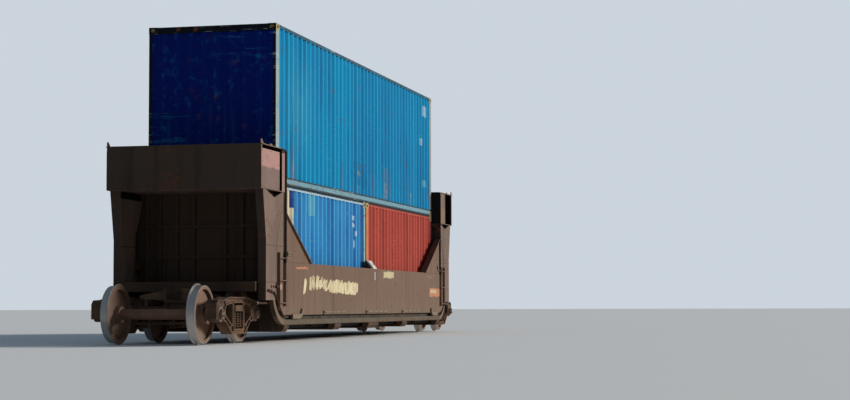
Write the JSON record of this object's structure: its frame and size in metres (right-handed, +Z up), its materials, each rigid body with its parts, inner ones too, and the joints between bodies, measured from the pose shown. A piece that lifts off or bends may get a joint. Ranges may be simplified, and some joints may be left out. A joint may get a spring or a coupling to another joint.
{
  "type": "articulated double-stack well car unit with containers",
  "caption": "Intermediate unit of an articulated bulkhead double-stack well car on its two trucks, carrying a long corrugated container over two short ones.",
  "frame": {"origin": "middle of the unit, on the plane of the wheel flanges' lowest points", "axes": "+X along the car, +Y across it, +Z up"},
  "size_m": [18.2558, 2.9, 5.7239],
  "materials": {
    "car_paint": "weathered matt taupe-brown paint",
    "truck_casting": "dusty cast steel",
    "wheel_steel": "rusty wheel steel with bright treads",
    "bare_steel": "light worn paint",
    "sign_plate": "faded blank plate",
    "upper_box_paint": "bright blue container paint",
    "blue_box_paint": "blue container paint",
    "red_box_paint": "red-brown container paint",
    "box_castings": "worn corner castings",
    "zinc_steel": "galvanised steel",
    "box_floor": "plywood on steel bearers"
  },
  "bodies": {
    "car_body": {"blue_box_castings": "box_castings", "blue_box_doors": "blue_box_paint", "blue_box_floor": "box_floor", "blue_box_frame": "blue_box_paint", "blue_box_lock_rods": "zinc_steel", "blue_box_roof": "blue_box_paint", "blue_box_walls": "blue_box_paint", "connector_castings": "truck_casting", "crossmembers": "car_paint", "decks": "car_paint", "end_sills": "car_paint", "end_walls": "car_paint", "floor_braces": "car_paint", "gussets": "car_paint", "heads": "car_paint", "jacking_brackets": "bare_steel", "ladders": "car_paint", "mid_guides": "car_paint", "pedestals": "truck_casting", "posts": "car_paint", "red_box_castings": "box_castings", "red_box_doors": "red_box_paint", "red_box_floor": "box_floor", "red_box_frame": "red_box_paint", "red_box_lock_rods": "zinc_steel", "red_box_roof": "red_box_paint", "red_box_walls": "red_box_paint", "side_bearing_arms": "truck_casting", "side_girders": "car_paint", "sign_plates": "sign_plate", "stub_sills": "car_paint", "train_pipe": "bare_steel", "upper_box_castings": "box_castings", "upper_box_doors": "upper_box_paint", "upper_box_floor": "box_floor", "upper_box_frame": "upper_box_paint", "upper_box_lock_rods": "zinc_steel", "upper_box_roof": "upper_box_paint", "upper_box_walls": "upper_box_paint", "web_bars": "bare_steel"},
    "truck_a": {"truck_a_bolster": "truck_casting", "truck_a_brake_beams": "truck_casting", "truck_a_side_frames": "truck_casting", "truck_a_springs": "truck_casting"},
    "truck_b": {"truck_b_bolster": "truck_casting", "truck_b_brake_beams": "truck_casting", "truck_b_side_frames": "truck_casting", "truck_b_springs": "truck_casting"},
    "wheelset_a1": {"wheelset_a1": "wheel_steel"},
    "wheelset_a2": {"wheelset_a2": "wheel_steel"},
    "wheelset_b1": {"wheelset_b1": "wheel_steel"},
    "wheelset_b2": {"wheelset_b2": "wheel_steel"}
  },
  "joints": [
    {"name": "truck_a_swivel", "type": "hinge", "parent": "car_body", "child": "truck_a", "pos_m": [-7.728, 0, 0.64], "axis": [0, 0, 1], "range_deg": [-5, 5]},
    {"name": "wheelset_a1_roll", "type": "hinge", "parent": "truck_a", "child": "wheelset_a1", "pos_m": [-8.617, 0, 0.511], "axis": [0, 1, 0], "continuous": true},
    {"name": "wheelset_a2_roll", "type": "hinge", "parent": "truck_a", "child": "wheelset_a2", "pos_m": [-6.839, 0, 0.511], "axis": [0, 1, 0], "continuous": true},
    {"name": "truck_b_swivel", "type": "hinge", "parent": "car_body", "child": "truck_b", "pos_m": [7.728, 0, 0.64], "axis": [0, 0, 1], "range_deg": [-5, 5]},
    {"name": "wheelset_b1_roll", "type": "hinge", "parent": "truck_b", "child": "wheelset_b1", "pos_m": [6.839, 0, 0.511], "axis": [0, 1, 0], "continuous": true},
    {"name": "wheelset_b2_roll", "type": "hinge", "parent": "truck_b", "child": "wheelset_b2", "pos_m": [8.617, 0, 0.511], "axis": [0, 1, 0], "continuous": true}
  ]
}
